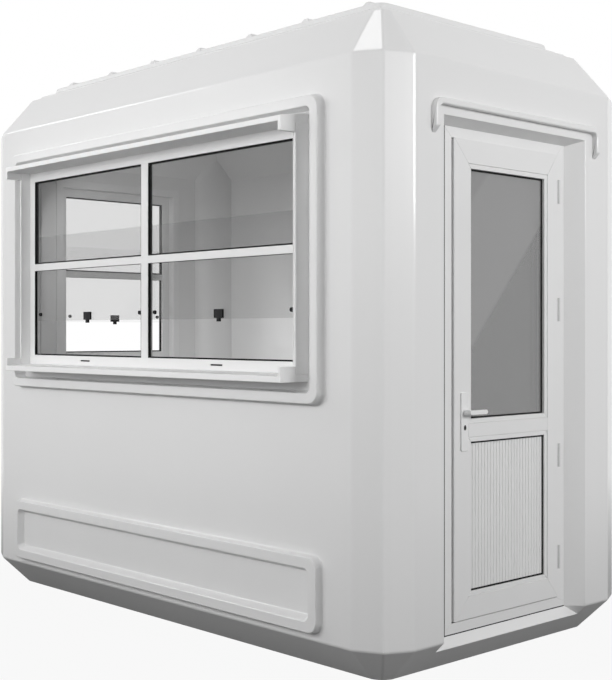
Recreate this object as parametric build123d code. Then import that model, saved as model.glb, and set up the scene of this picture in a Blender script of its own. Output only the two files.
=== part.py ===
from build123d import *
import math
import os

# Security guard booth: a white moulded kiosk with a tapered base, faceted corners,
# a sloped and stepped roof, a serving window on the front and on one end, and a half
# glazed door on the other end. Millimetres, +Z up, origin at the middle of the footprint
# on the ground. The window wall faces -Y and the door wall faces +X.

# Overall body
body_length = 2700.0
body_width = 1500.0
wall_thick = 62.0
base_height = 131.0
base_inset = 132.0
eaves_height = 2200.0
floor_thick = 18.0
cut_overrun = 20.0

# Faceted corners: each corner has two facets that meet in an upright ridge
corner_leg = 155.0
ridge_setback = 49.0
facet_soften = 16.0
facet_soften_share = 0.3
post_leg = 205.0

# Roof: slope, first tread and riser, second tread and riser, crown, ribs
slope_inset = 145.0
slope_rise = 177.0
tread_one_inset = 184.0
tread_one_rise = 8.0
riser_one_inset = 191.0
riser_one_rise = 15.0
tread_two_inset = 228.0
tread_two_rise = 14.0
riser_two_inset = 236.0
riser_two_rise = 23.0
crown_corner_radius = 90.0
rib_count = 7
rib_side_gap = 112.0
rib_width = 58.0
rib_height = 18.0
rib_end_gap = 8.0
rib_taper_deg = 40.0

# Raised beads moulded round the window recess and the apron panel
bead_width = 40.0
bead_proud = 13.0
bead_flare = 24.0
bead_corner_radius = 62.0
bead_soften = 4.0
recess_depth = 19.0
recess_corner_radius = 24.0
bead_gap_side = 41.0
bead_gap_below = 44.0
bead_gap_above = 58.0
apron_bead_low = 156.0
apron_bead_high = 440.0
apron_bead_width = 46.0
apron_flare = 10.0
apron_end_gap = 100.0
apron_corner_radius = 40.0

# Windows: heights are shared by the front window and the end window
pane_low = 1125.0
pane_head_drop = 262.0
front_window_margin = 243.0
end_window_margin = 235.0
frame_bar = 43.0
frame_depth = 25.0
frame_setback = 2.0
mullion_width = 49.0
mullion_shift = -23.5
transom_share = 0.505
transom_height = 32.0
transom_depth = 17.0
jamb_plate_thick = 14.0
jamb_plate_proud = 45.0
ledge_proud = 119.0
canopy_lip = 18.0
canopy_rise = 24.0
canopy_cheek = 52.0
ledge_lip = 23.0
ledge_fall = 6.0
ledge_cheek = 57.0
fixed_glass_thick = 6.0
fixed_glass_setback = 10.0
sliding_glass_thick = 5.0
sliding_glass_setback = 21.0
hatch_height = 160.0
latch_width = 52.0
latch_height = 35.0
latch_deep = 10.0
latch_lift = 3.0
latch_tab_width = 18.0
latch_tab_height = 14.0
latch_tab_deep = 5.0
knob_radius = 8.5
knob_deep = 9.0
knob_inset = 29.0
knob_lift = 30.0

# Doorway: the opening flares from the door frame out to the wall face
pier_width = 113.0
lintel_height = 197.0
door_splay = 60.0
door_head_splay = 23.0
door_step_drop = 38.0

# Door frame, fixed to the inner side of the wall
door_frame_lap = 35.0
door_frame_deep = 63.0
door_jamb_face = 47.0
door_head_face = 39.0
door_sill_height = 41.0
leaf_gap = 5.0

# Door leaf
leaf_thick = 60.0
leaf_proud = 8.0
stile_width = 100.0
top_rail = 100.0
bottom_rail = 99.0
middle_rail = 86.0
light_rise = 736.0
infill_thick = 24.0
infill_setback = 16.0
panel_rib_count = 25
panel_rib_width = 10.0
panel_rib_proud = 4.0

# Door hinges: a slim barrel on one upright axis, the lower half on the frame
hinge_height_shares = (0.09, 0.321, 0.651, 0.919)
hinge_length = 93.0
hinge_radius = 6.5
hinge_side_gap = 0.5
hinge_web = 7.0
hinge_strap = 3.0
hinge_play = 0.3

# Handle plates, lever and lock cylinder
handle_inset = 55.0
plate_width = 40.0
plate_below = 142.0
plate_above = 73.0
plate_thick = 8.0
plate_corner_radius = 8.0
lever_height = 938.0
lever_boss_radius = 10.0
lever_reach = 84.0
lever_tall = 17.0
lever_thick = 12.0
lever_stand_off = 31.0
lever_play = 0.3
spindle_radius = 5.0
lock_below = 56.0
lock_radius = 9.0
lock_proud = 3.0

# Drip moulding over the door
drip_side_gap = 29.0
drip_head_gap = 29.0
drip_bar = 27.0
drip_leg = 45.0
drip_drop = 70.0
drip_proud = 23.0
drip_corner_radius = 40.0
drip_inner_radius = 12.0
drip_soften = 7.0

# Rounded column inside each corner, and the cove under the roof slope
column_leg_x = 108.0
column_leg_y = 177.0
column_bulge_share = 0.68
cove_drop = 110.0

# Derived places
half_length = body_length / 2
half_width = body_width / 2
room_half_length = half_length - wall_thick
room_half_width = half_width - wall_thick
floor_top = base_height + floor_thick
slope_top = eaves_height + slope_rise
cove_low = eaves_height - cove_drop
front_half = half_length - post_leg
end_half = half_width - post_leg

# Derived window places
pane_high = eaves_height - pane_head_drop
front_pane_half = front_half - front_window_margin
end_pane_half = end_half - end_window_margin
transom_mid = pane_low + (pane_high - pane_low) * transom_share
transom_low = transom_mid - transom_height / 2
transom_high = transom_mid + transom_height / 2
sliding_low = pane_low + hatch_height
sliding_high = sliding_low + transom_low - pane_low
frame_low = pane_low - frame_bar
frame_high = pane_high + frame_bar
ledge_low = frame_low - ledge_fall - ledge_lip

# Derived door places
door_face_half = end_half - pier_width
door_face_top = eaves_height - lintel_height
door_reveal_half = door_face_half - door_splay
door_reveal_top = door_face_top - door_head_splay
door_inner_face = half_length - wall_thick
frame_inner_face = door_inner_face - door_frame_deep
door_frame_half = door_reveal_half - door_jamb_face
door_frame_top = door_reveal_top - door_head_face
door_sill_top = base_height + door_sill_height
leaf_half = door_frame_half - leaf_gap
leaf_low = door_sill_top + leaf_gap
leaf_high = door_frame_top - leaf_gap
leaf_outer_face = door_inner_face + leaf_proud
leaf_inner_face = leaf_outer_face - leaf_thick
light_half = leaf_half - stile_width
light_low = leaf_low + light_rise
light_high = leaf_high - top_rail
lower_panel_low = leaf_low + bottom_rail
lower_panel_high = light_low - middle_rail
handle_mid = leaf_half - handle_inset
plate_low = lever_height - plate_below
plate_high = lever_height + plate_above
lock_height = lever_height - lock_below
hinge_x = door_inner_face + hinge_radius + hinge_side_gap
hinge_y = leaf_half + hinge_radius + hinge_side_gap
hinge_mids = [leaf_low + (leaf_high - leaf_low) * share for share in hinge_height_shares]


def span(x0, x1, y0, y1, z0, z1):
    """A box between two opposite corners."""
    middle = Pos((x0 + x1) / 2, (y0 + y1) / 2, (z0 + z1) / 2)
    return middle * Box(x1 - x0, y1 - y0, z1 - z0)


def keep(name, *solids):
    """Write one node, which holds one or more separate solids."""
    shape = solids[0] if len(solids) == 1 else Compound(children=list(solids))
    export_step(shape, "parts/" + name + ".step")


def rise(plan, low, high):
    """Raise a flat plan from one level to another."""
    return extrude(Pos(0, 0, low) * plan, high - low, dir=(0, 0, 1))


def shell_outline(inset):
    """Plan of the booth, moved in by inset, with two facets at each corner."""
    facet_angle = math.atan2(ridge_setback, corner_leg - ridge_setback)
    leg = corner_leg - inset * (1 - math.tan(facet_angle / 2))
    ridge_move = math.cos(math.pi / 4) / math.cos(math.pi / 4 - facet_angle)
    ridge = ridge_setback + inset * (ridge_move - 1)
    x = half_length - inset
    y = half_width - inset
    corner = [(x, y - leg), (x - ridge, y - ridge), (x - leg, y)]
    points = list(corner)
    points += [(-a, b) for a, b in reversed(corner)]
    points += [(-a, -b) for a, b in corner]
    points += [(a, -b) for a, b in reversed(corner)]
    plan = Polygon(*points, align=None)
    soften = min(facet_soften, leg * facet_soften_share)
    return fillet(plan.vertices(), soften)


def shell_slope(low_inset, low_z, high_inset, high_z):
    """A tapered stage of the shell between two levels."""
    low = Pos(0, 0, low_z) * shell_outline(low_inset)
    high = Pos(0, 0, high_z) * shell_outline(high_inset)
    return loft([low.face(), high.face()], ruled=True)


def crown_slope(low_inset, low_z, high_inset, high_z):
    """A tapered stage of the crown, whose plan is a rounded rectangle."""
    faces = []
    for inset, z in ((low_inset, low_z), (high_inset, high_z)):
        plan = RectangleRounded(body_length - 2 * inset, body_width - 2 * inset, crown_corner_radius)
        faces.append((Pos(0, 0, z) * plan).face())
    return loft(faces, ruled=True)


# Base pan and floor
def base_pan():
    """Tapered pan, with its rim cut down to a sloping, flared step in front of the door."""
    pan = shell_slope(base_inset, 0, 0, base_height)
    edge_x = half_length - door_step_drop * base_inset / base_height
    fall = door_step_drop / (edge_x - door_inner_face)
    far_x = half_length + cut_overrun
    profile = Polygon(
        (door_inner_face, base_height),
        (far_x, base_height - fall * (far_x - door_inner_face)),
        (far_x, base_height + cut_overrun),
        (door_inner_face, base_height + cut_overrun),
        align=None,
    )
    step = extrude(Plane.XZ * profile, half_width, both=True)
    for side in (-1, 1):
        foot = Vector(door_inner_face, side * door_reveal_half, base_height)
        rim = Vector(half_length, side * door_face_half, base_height)
        edge = Vector(edge_x, side * door_face_half, base_height - door_step_drop)
        outward = (rim - foot).cross(edge - foot)
        if outward.Y * side < 0:
            outward = -outward
        step = split(step, bisect_by=Plane(origin=foot, z_dir=outward), keep=Keep.BOTTOM)
    return pan - step


def room_outline():
    """Plan of the room: a rectangle with a rounded column standing in each corner."""
    room = Rectangle(2 * room_half_length, 2 * room_half_width)
    for side_x in (-1, 1):
        for side_y in (-1, 1):
            corner_x = side_x * room_half_length
            corner_y = side_y * room_half_width
            start = (corner_x - side_x * column_leg_x, corner_y)
            middle = (
                corner_x - side_x * column_leg_x * column_bulge_share,
                corner_y - side_y * column_leg_y * column_bulge_share,
            )
            end = (corner_x, corner_y - side_y * column_leg_y)
            rim = ThreePointArc(start, middle, end)
            back = Polyline(end, (corner_x, corner_y), start)
            room -= make_face([*rim.edges(), *back.edges()])
    return room


def floor_board():
    """Board laid on the pan, notched round the foot of the door frame."""
    board = rise(room_outline(), base_height, floor_top)
    notch_half = door_reveal_half + door_frame_lap
    notch = span(frame_inner_face, half_length, -notch_half, notch_half, 0, eaves_height)
    return board - notch


# Walls
def bead_stage(half, low, high, radius, stages):
    """A stage of a bead: a rounded rectangle, grown by some amount at each height over the wall."""
    faces = []
    for height, grow in stages:
        plan = RectangleRounded(2 * (half + grow), high - low + 2 * grow, radius + grow)
        faces.append((Plane.XZ.offset(height) * Pos(0, (low + high) / 2) * plan).face())
    return loft(faces, ruled=True)


def bead_ring(wall, half, low, high, width, flare, corner_radius):
    """Raise a bead with bevelled edges on a wall's outer face and sink the panel inside it."""
    shoulder = bead_proud - bead_soften
    mouth = bead_proud + bead_soften
    rim = (half + width, low - width, high + width, corner_radius)
    bead = bead_stage(*rim, ((0, flare), (shoulder, 0)))
    bead += bead_stage(*rim, ((shoulder, 0), (bead_proud, -bead_soften)))
    recess = (half, low, high, recess_corner_radius)
    sunk = bead_stage(*recess, ((-recess_depth, 0), (shoulder, 0)))
    sunk += bead_stage(*recess, ((shoulder, 0), (mouth, mouth - shoulder)))
    return wall + bead - sunk


def plain_wall(half):
    """A wall panel in its own frame: outer face at Y 0, outwards along -Y."""
    return span(-half, half, 0, wall_thick, base_height, eaves_height)


def apron(wall, wall_half):
    """Raised bead round the low apron panel of a wall."""
    half = wall_half - apron_end_gap - apron_bead_width
    return bead_ring(
        wall,
        half,
        apron_bead_low + apron_bead_width,
        apron_bead_high - apron_bead_width,
        apron_bead_width,
        apron_flare,
        apron_corner_radius,
    )


def window_wall(wall_half, pane_half):
    """A wall with a window opening in a beaded recess, over an apron panel."""
    frame_half = pane_half + frame_bar
    wall = bead_ring(
        apron(plain_wall(wall_half), wall_half),
        frame_half + jamb_plate_thick + bead_gap_side,
        ledge_low - bead_gap_below,
        frame_high + bead_gap_above,
        bead_width,
        bead_flare,
        bead_corner_radius,
    )
    hole = span(-frame_half, frame_half, -cut_overrun, wall_thick + cut_overrun, frame_low, frame_high)
    return wall - hole


# Windows, in the frame of their wall
def window_canopy(frame_half):
    """Hood over the window with a sloping top and a cheek at each end."""
    outer = frame_half + jamb_plate_thick
    profile = Polygon(
        (-ledge_proud, frame_high),
        (-ledge_proud, frame_high + canopy_lip),
        (recess_depth, frame_high + canopy_lip + canopy_rise),
        (recess_depth, frame_high),
        align=None,
    )
    hood = extrude(Plane.YZ * profile, outer, both=True)
    low = frame_high + canopy_lip - canopy_cheek
    for side in (-1, 1):
        inner, end = sorted((side * frame_half, side * outer))
        hood += span(inner, end, -ledge_proud, -jamb_plate_proud, low, frame_high)
    return hood


def window_ledge(frame_half):
    """Ledge under the window, falling outwards, with a cheek at each end."""
    outer = frame_half + jamb_plate_thick
    profile = Polygon(
        (-ledge_proud, ledge_low),
        (-ledge_proud, ledge_low + ledge_lip),
        (-jamb_plate_proud, frame_low),
        (recess_depth, frame_low),
        (recess_depth, ledge_low),
        align=None,
    )
    shelf = extrude(Plane.YZ * profile, outer, both=True)
    for side in (-1, 1):
        inner, end = sorted((side * frame_half, side * outer))
        shelf += span(
            inner, end, -ledge_proud, -jamb_plate_proud, ledge_low + ledge_lip / 2, ledge_low + ledge_cheek
        )
    return shelf


def window_jambs(frame_half):
    """The two plates beside the window frame, between ledge and canopy."""
    plates = []
    for side in (-1, 1):
        inner, end = sorted((side * frame_half, side * (frame_half + jamb_plate_thick)))
        plates.append(span(inner, end, -jamb_plate_proud, recess_depth, frame_low, frame_high))
    return plates


def pane_columns(pane_half, columns):
    """Left and right edges of each column of panes, with the mullions off the middle."""
    pitch = (2 * pane_half + mullion_width) / columns
    edges = []
    for number in range(columns):
        left = -pane_half + pitch * number
        right = left + pitch - mullion_width
        if number > 0:
            left += mullion_shift
        if number < columns - 1:
            right += mullion_shift
        edges.append((left, right))
    return edges


def window_frame(pane_half, columns):
    """Frame with a transom, and a mullion between columns of panes."""
    outer = pane_half + frame_bar
    back = frame_setback + frame_depth
    frame = span(-outer, outer, frame_setback, back, frame_low, frame_high)
    for left, right in pane_columns(pane_half, columns):
        frame -= span(left, right, 0, wall_thick, pane_low, pane_high)
        frame += span(
            left, right, frame_setback, frame_setback + transom_depth, transom_low, transom_high
        )
    return frame


def fixed_panes(pane_half, columns):
    """Upper panes, held in the frame above the transom."""
    back = fixed_glass_setback + fixed_glass_thick
    return [
        span(left, right, fixed_glass_setback, back, transom_high, pane_high)
        for left, right in pane_columns(pane_half, columns)
    ]


def sliding_panes(pane_half, columns):
    """Frameless lower panes, slid up behind the fixed ones."""
    back = sliding_glass_setback + sliding_glass_thick
    return [
        span(left, right, sliding_glass_setback, back, sliding_low, sliding_high)
        for left, right in pane_columns(pane_half, columns)
    ]


def pane_latches(pane_half, columns):
    """A latch with a thumb tab at the foot of each sliding pane."""
    latches = []
    for left, right in pane_columns(pane_half, columns):
        middle = (left + right) / 2
        low = sliding_low + latch_lift
        front = sliding_glass_setback - latch_deep
        case = span(
            middle - latch_width / 2, middle + latch_width / 2,
            front, sliding_glass_setback,
            low, low + latch_height,
        )
        tab = span(
            middle - latch_tab_width / 2, middle + latch_tab_width / 2,
            front, front + latch_tab_deep,
            low - latch_tab_height, low + latch_height / 2,
        )
        latches.append(case + tab)
    return latches


def pane_knobs(pane_half, columns):
    """A round knob near each lower corner of each sliding pane."""
    knobs = []
    for left, right in pane_columns(pane_half, columns):
        for place in (left + knob_inset, right - knob_inset):
            disc = Plane.XZ * Pos(place, sliding_low + knob_lift) * Circle(knob_radius)
            knobs.append(extrude(Pos(0, sliding_glass_setback, 0) * disc, knob_deep))
    return knobs


def keep_window(name, place, pane_half, columns):
    """Write every piece of one window, moved to its wall."""
    frame_half = pane_half + frame_bar
    pieces = {
        "canopy": [window_canopy(frame_half)],
        "ledge": [window_ledge(frame_half)],
        "jambs": window_jambs(frame_half),
        "frame": [window_frame(pane_half, columns)],
        "fixed_glass": fixed_panes(pane_half, columns),
        "sliding_glass": sliding_panes(pane_half, columns),
        "latches": pane_latches(pane_half, columns),
        "knobs": pane_knobs(pane_half, columns),
    }
    for part, solids in pieces.items():
        keep(name + "_" + part, *[place * solid for solid in solids])


# Door wall
def door_pier(side):
    """Wall beside the doorway, with its edge splayed towards the door frame."""
    plan = Polygon(
        (half_length, side * door_face_half),
        (half_length, side * (half_width - post_leg)),
        (door_inner_face, side * (half_width - post_leg)),
        (door_inner_face, side * door_reveal_half),
        align=None,
    )
    return rise(plan, base_height, eaves_height)


def door_lintel():
    """Wall over the doorway, fitted between the piers, with a splayed soffit."""
    plan = Polygon(
        (half_length, -door_face_half),
        (half_length, door_face_half),
        (door_inner_face, door_reveal_half),
        (door_inner_face, -door_reveal_half),
        align=None,
    )
    beam = rise(plan, door_reveal_top, eaves_height)
    splay = Polygon(
        (door_inner_face, door_reveal_top),
        (half_length, door_face_top),
        (half_length, door_reveal_top),
        align=None,
    )
    return beam - extrude(Plane.XZ * splay, half_width, both=True)


def corner_post(side_x, side_y):
    """Faceted corner of the shell, backed by the rounded inner column."""
    shell = rise(shell_outline(0), base_height, eaves_height)
    room = rise(room_outline(), base_height, eaves_height)
    far_x = side_x * (half_length + cut_overrun)
    far_y = side_y * (half_width + cut_overrun)
    near_x = side_x * (half_length - post_leg)
    near_y = side_y * (half_width - post_leg)
    quarter = span(
        min(far_x, near_x), max(far_x, near_x),
        min(far_y, near_y), max(far_y, near_y),
        0, eaves_height + cut_overrun,
    )
    return (shell - room) & quarter


# Roof
def ceiling_void():
    """Room space above the cove line, sloping in on all sides round the corner columns."""
    lean = (slope_top - cove_low) * slope_inset / slope_rise
    low = Pos(0, 0, cove_low) * Rectangle(2 * room_half_length, 2 * room_half_width)
    high = Pos(0, 0, slope_top) * Rectangle(2 * (room_half_length - lean), 2 * (room_half_width - lean))
    void = loft([low.face(), high.face()], ruled=True)
    return void & rise(room_outline(), cove_low, slope_top)


def roof_skirt():
    """Sloping ring between the walls and the flat of the roof, with a cove inside the walls."""
    outer = shell_slope(0, eaves_height, slope_inset, slope_top)
    return outer + rise(room_outline(), cove_low, eaves_height) - ceiling_void()


def roof_panel():
    """Roof top with two treads, two risers and a ribbed crown."""
    level_one = slope_top + tread_one_rise
    level_two = level_one + riser_one_rise
    level_three = level_two + tread_two_rise
    crown_top = level_three + riser_two_rise
    panel = shell_slope(slope_inset, slope_top, tread_one_inset, level_one)
    panel += shell_slope(tread_one_inset, level_one, riser_one_inset, level_two)
    panel += crown_slope(riser_one_inset, level_two, tread_two_inset, level_three)
    panel += crown_slope(tread_two_inset, level_three, riser_two_inset, crown_top)
    rib_length = body_width - 2 * riser_two_inset - 2 * rib_end_gap
    rib_run = body_length - 2 * riser_two_inset - 2 * rib_side_gap
    for number in range(rib_count):
        x = (number / (rib_count - 1)) * rib_run - rib_run / 2
        plan = Pos(x, 0, crown_top) * Rectangle(rib_width, rib_length)
        panel += extrude(plan, rib_height, taper=rib_taper_deg)
    return panel


# Door frame
def door_frame_bars():
    """Jambs, head and sill, lapped behind the wall's inner face."""
    outer = door_reveal_half + door_frame_lap
    head_top = door_reveal_top + door_frame_lap
    x = (frame_inner_face, door_inner_face)
    return {
        "door_jamb_latch": span(*x, -outer, -door_frame_half, base_height, head_top),
        "door_jamb_hinge": span(*x, door_frame_half, outer, base_height, head_top),
        "door_head": span(*x, -door_frame_half, door_frame_half, door_frame_top, head_top),
        "door_sill": span(*x, -door_frame_half, door_frame_half, base_height, door_sill_top),
    }


# Door leaf
def leaf_frame():
    """Stiles and rails, open for the glass and the lower panel, bored for the spindle."""
    x = (leaf_inner_face, leaf_outer_face)
    frame = span(*x, -leaf_half, leaf_half, leaf_low, leaf_high)
    for low, high in ((light_low, light_high), (lower_panel_low, lower_panel_high)):
        frame -= span(
            leaf_inner_face - cut_overrun, leaf_outer_face + cut_overrun,
            -light_half, light_half, low, high,
        )
    return frame - spindle(spindle_radius + lever_play)


def spindle(radius):
    """Square bar of the lever, round here, through the leaf and both plates."""
    reach = leaf_thick / 2 + plate_thick + lever_play
    disc = Plane.YZ * Pos(-handle_mid, lever_height) * Circle(radius)
    return Pos((leaf_inner_face + leaf_outer_face) / 2, 0, 0) * extrude(disc, reach, both=True)


def infill(low, high):
    """Flat filling of one opening of the leaf."""
    back = leaf_outer_face - infill_setback - infill_thick
    return span(back, back + infill_thick, -light_half, light_half, low, high)


def lower_panel():
    """Lower filling with upright ribs on its outer face."""
    panel = infill(lower_panel_low, lower_panel_high)
    pitch = 2 * light_half / panel_rib_count
    front = leaf_outer_face - infill_setback
    for number in range(panel_rib_count):
        y = (number - (panel_rib_count - 1) / 2) * pitch
        panel += span(
            front, front + panel_rib_proud,
            y - panel_rib_width / 2, y + panel_rib_width / 2,
            lower_panel_low, lower_panel_high,
        )
    return panel


def handle_plates():
    """Long plates on both faces of the leaf, bored for the spindle."""
    middle = (plate_low + plate_high) / 2
    outline = Pos(-handle_mid, middle) * RectangleRounded(
        plate_width, plate_high - plate_low, plate_corner_radius
    )
    outer = extrude(Pos(leaf_outer_face, 0, 0) * (Plane.YZ * outline), plate_thick)
    inner = extrude(Pos(leaf_inner_face, 0, 0) * (Plane.YZ * outline), -plate_thick)
    bore = spindle(spindle_radius + lever_play)
    return [outer - bore, inner - bore]


def lock_cylinder():
    """Key cylinder ends, standing on the two plates."""
    disc = Plane.YZ * Pos(-handle_mid, lock_height) * Circle(lock_radius)
    outer = extrude(Pos(leaf_outer_face + plate_thick, 0, 0) * disc, lock_proud)
    inner = extrude(Pos(leaf_inner_face - plate_thick, 0, 0) * disc, -lock_proud)
    return [outer, inner]


def lever():
    """Outer and inner lever on one spindle, both pointing to the hinge side."""
    handle = spindle(spindle_radius)
    boss_disc = Plane.YZ * Pos(-handle_mid, lever_height) * Circle(lever_boss_radius)
    grip = Pos(-handle_mid + lever_reach / 2, lever_height) * SlotOverall(
        lever_reach + lever_tall, lever_tall
    )
    for face, way in ((leaf_outer_face, 1), (leaf_inner_face, -1)):
        seat = face + way * (plate_thick + lever_play)
        handle += extrude(Pos(seat, 0, 0) * boss_disc, way * lever_stand_off)
        start = seat + way * (lever_stand_off - lever_thick)
        handle += extrude(Pos(start, 0, 0) * (Plane.YZ * grip), way * lever_thick)
    return handle


def hinge_halves():
    """Frame halves below and leaf halves above, on one upright axis."""
    frame_halves = []
    leaf_halves = []
    half = hinge_length / 2
    barrel = Pos(hinge_x, hinge_y, 0) * Cylinder(
        hinge_radius, half - hinge_play / 2, align=(Align.CENTER, Align.CENTER, Align.MIN)
    )
    for middle in hinge_mids:
        low = (middle - half, middle - hinge_play / 2)
        high = (middle + hinge_play / 2, middle + half)
        frame_half = Pos(0, 0, low[0]) * barrel
        frame_half += span(door_inner_face, hinge_x, hinge_y, hinge_y + hinge_web, *low)
        leaf_half_piece = Pos(0, 0, high[0]) * barrel
        leaf_half_piece += span(hinge_x - hinge_strap, leaf_outer_face, leaf_half, hinge_y, *high)
        frame_halves.append(frame_half)
        leaf_halves.append(leaf_half_piece)
    return frame_halves, leaf_halves


def door_drip():
    """Moulding over the doorway with a short hook down each side, bevelled at its end."""
    inner = door_face_half + drip_side_gap
    outer = inner + drip_leg
    bar_low = door_face_top + drip_head_gap
    bar_high = bar_low + drip_bar
    hook_low = door_face_top - drip_drop
    outline = Polygon(
        (-outer, hook_low),
        (-inner, hook_low),
        (-inner, bar_low),
        (inner, bar_low),
        (inner, hook_low),
        (outer, hook_low),
        (outer, bar_high),
        (-outer, bar_high),
        align=None,
    )
    outer_corners = outline.vertices().sort_by(Axis.Y)[-2:]
    outline = fillet(outer_corners, drip_corner_radius)
    inner_corners = [v for v in outline.vertices() if abs(v.Y - bar_low) < drip_soften and abs(v.X) <= inner]
    outline = fillet(inner_corners, drip_inner_radius)
    bar = extrude(Pos(half_length, 0, 0) * (Plane.YZ * outline), drip_proud)
    front = bar.faces().sort_by(Axis.X)[-1]
    bar = chamfer(front.edges(), drip_soften)
    far = drip_proud + cut_overrun
    wedge = Polygon(
        (half_length, hook_low),
        (half_length + far, hook_low + far),
        (half_length + far, hook_low - cut_overrun),
        (half_length, hook_low - cut_overrun),
        align=None,
    )
    return bar - extrude(Plane.XZ * wedge, half_width, both=True)


os.makedirs("parts", exist_ok=True)

front_place = Pos(0, -half_width, 0)
rear_place = Pos(0, half_width, 0) * Rot(0, 0, 180)
end_place = Pos(-half_length, 0, 0) * Rot(0, 0, -90)

keep("base_pan", base_pan())
keep("floor_board", floor_board())
keep("front_wall", front_place * window_wall(front_half, front_pane_half))
keep("rear_wall", rear_place * apron(plain_wall(front_half), front_half))
keep("end_wall", end_place * window_wall(end_half, end_pane_half))
keep("door_pier_front", door_pier(-1))
keep("door_pier_rear", door_pier(1))
keep("door_lintel", door_lintel())
for side_x, end_name in ((-1, "left"), (1, "right")):
    for side_y, side_name in ((-1, "front"), (1, "rear")):
        keep("corner_post_" + side_name + "_" + end_name, corner_post(side_x, side_y))
keep("roof_skirt", roof_skirt())
keep("roof_panel", roof_panel())
keep("door_drip", door_drip())
for bar_name, bar in door_frame_bars().items():
    keep(bar_name, bar)
frame_hinges, leaf_hinges = hinge_halves()
keep("door_hinges_frame", *frame_hinges)
keep("door_leaf_frame", leaf_frame())
keep("door_glass", infill(light_low, light_high))
keep("door_lower_panel", lower_panel())
keep("door_handle_plates", *handle_plates())
keep("door_lock_cylinder", *lock_cylinder())
keep("door_hinges_leaf", *leaf_hinges)
keep("door_lever", lever())
keep_window("front_window", front_place, front_pane_half, 2)
keep_window("end_window", end_place, end_pane_half, 1)
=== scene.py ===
# %% [markdown]
# # A moulded guard booth, finished in Blender
# The booth is a white glass fibre kiosk: one moulded shell with faceted corners, a stepped
# roof and raised beads, two serving windows and a half-glazed door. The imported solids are
# the frame. Sizes and places below are read from them wherever a solid shows them, so a
# piece always sits where the working model has it.

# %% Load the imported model
import math

import bmesh
import bpy
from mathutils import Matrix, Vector


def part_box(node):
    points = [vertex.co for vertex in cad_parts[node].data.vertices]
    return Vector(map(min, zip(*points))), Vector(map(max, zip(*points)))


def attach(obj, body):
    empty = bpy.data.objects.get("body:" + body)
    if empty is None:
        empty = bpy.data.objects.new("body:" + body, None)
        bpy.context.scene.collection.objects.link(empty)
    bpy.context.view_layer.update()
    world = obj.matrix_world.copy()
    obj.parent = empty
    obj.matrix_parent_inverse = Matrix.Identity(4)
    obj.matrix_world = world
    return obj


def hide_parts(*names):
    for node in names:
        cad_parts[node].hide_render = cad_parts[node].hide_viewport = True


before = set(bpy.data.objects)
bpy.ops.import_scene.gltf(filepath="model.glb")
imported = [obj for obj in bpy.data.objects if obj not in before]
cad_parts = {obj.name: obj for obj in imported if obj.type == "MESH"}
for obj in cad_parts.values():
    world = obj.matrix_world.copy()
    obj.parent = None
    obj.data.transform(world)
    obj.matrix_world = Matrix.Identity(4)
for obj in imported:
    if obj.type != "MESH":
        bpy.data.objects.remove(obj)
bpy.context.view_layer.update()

# %% [markdown]
# ## Working by hand, in code
# Every piece starts as a primitive and is then shaped in edit mode. Operators act on all
# that is selected, so each helper starts from nothing selected. Meshes could also be written
# as lists of points, but then a reader would see numbers and not the steps of the work.


# %% Open and close a piece
def clear_selection():
    """Back to object mode with nothing selected."""
    if bpy.context.mode != "OBJECT":
        bpy.ops.object.mode_set(mode="OBJECT")
    bpy.ops.object.select_all(action="DESELECT")


def make_active(piece):
    """Select one piece alone, in object mode."""
    clear_selection()
    piece.select_set(True)
    bpy.context.view_layer.objects.active = piece


def open_piece(piece):
    """Open a piece in edit mode with nothing selected."""
    make_active(piece)
    bpy.ops.object.mode_set(mode="EDIT")
    bpy.ops.mesh.select_all(action="DESELECT")


def apply_place():
    """Put the place, turn and scale of the selected piece into its mesh."""
    bpy.ops.object.transform_apply(location=True, rotation=True, scale=True)


clear_selection()
print("nothing selected:", not bpy.context.selected_objects)

# %% [markdown]
# ## Camera
# The camera stands where the photograph's edges meet their vanishing points: level, at
# 1.23 m, in front of the near corner. Tilting it would put the horizon in its place too,
# but the booth's uprights would then lean together. A small lens shift keeps them parallel.

# %% Camera
camera_place = (4.1582, -3.7539, 1.2335)
camera_heading = 47.03
bpy.ops.object.camera_add(
    location=camera_place, rotation=(math.pi / 2, 0, math.radians(camera_heading))
)
camera = bpy.context.object
camera.name = "booth_camera"
camera.data.lens = 64.589
camera.data.sensor_width = 36
camera.data.shift_x = 0.0092
camera.data.shift_y = -0.0120
bpy.context.scene.camera = camera
bpy.context.scene.view_settings.view_transform = "Standard"
print("camera", tuple(camera.location))

# %% [markdown]
# ## Light and floor
# The photograph has a studio look: a wide lamp stands high in front of the window wall,
# another lights the door end, and the floor gives little back, so the undercut base goes
# dark. A narrow lamp high on the left and one overhead draw the bright lines along rounded
# edges. One lamp behind serves the unseen sides, and two small ones light the room. A
# picture of a studio could give this light too, but lamps can be set one by one.


# %% Lamps
def lamp(name, place, target, width, height, power, mirrored=True):
    """A rectangular studio lamp aimed at a point, shown in gloss or not."""
    clear_selection()
    bpy.ops.object.light_add(type="AREA", location=place)
    light = bpy.context.object
    light.name = name
    light.data.shape = "RECTANGLE"
    light.data.size = width
    light.data.size_y = height
    light.data.energy = power
    light.visible_glossy = mirrored
    light.visible_camera = False
    aim = Vector(target) - Vector(place)
    light.rotation_euler = aim.to_track_quat("-Z", "Y").to_euler()
    return light


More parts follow.
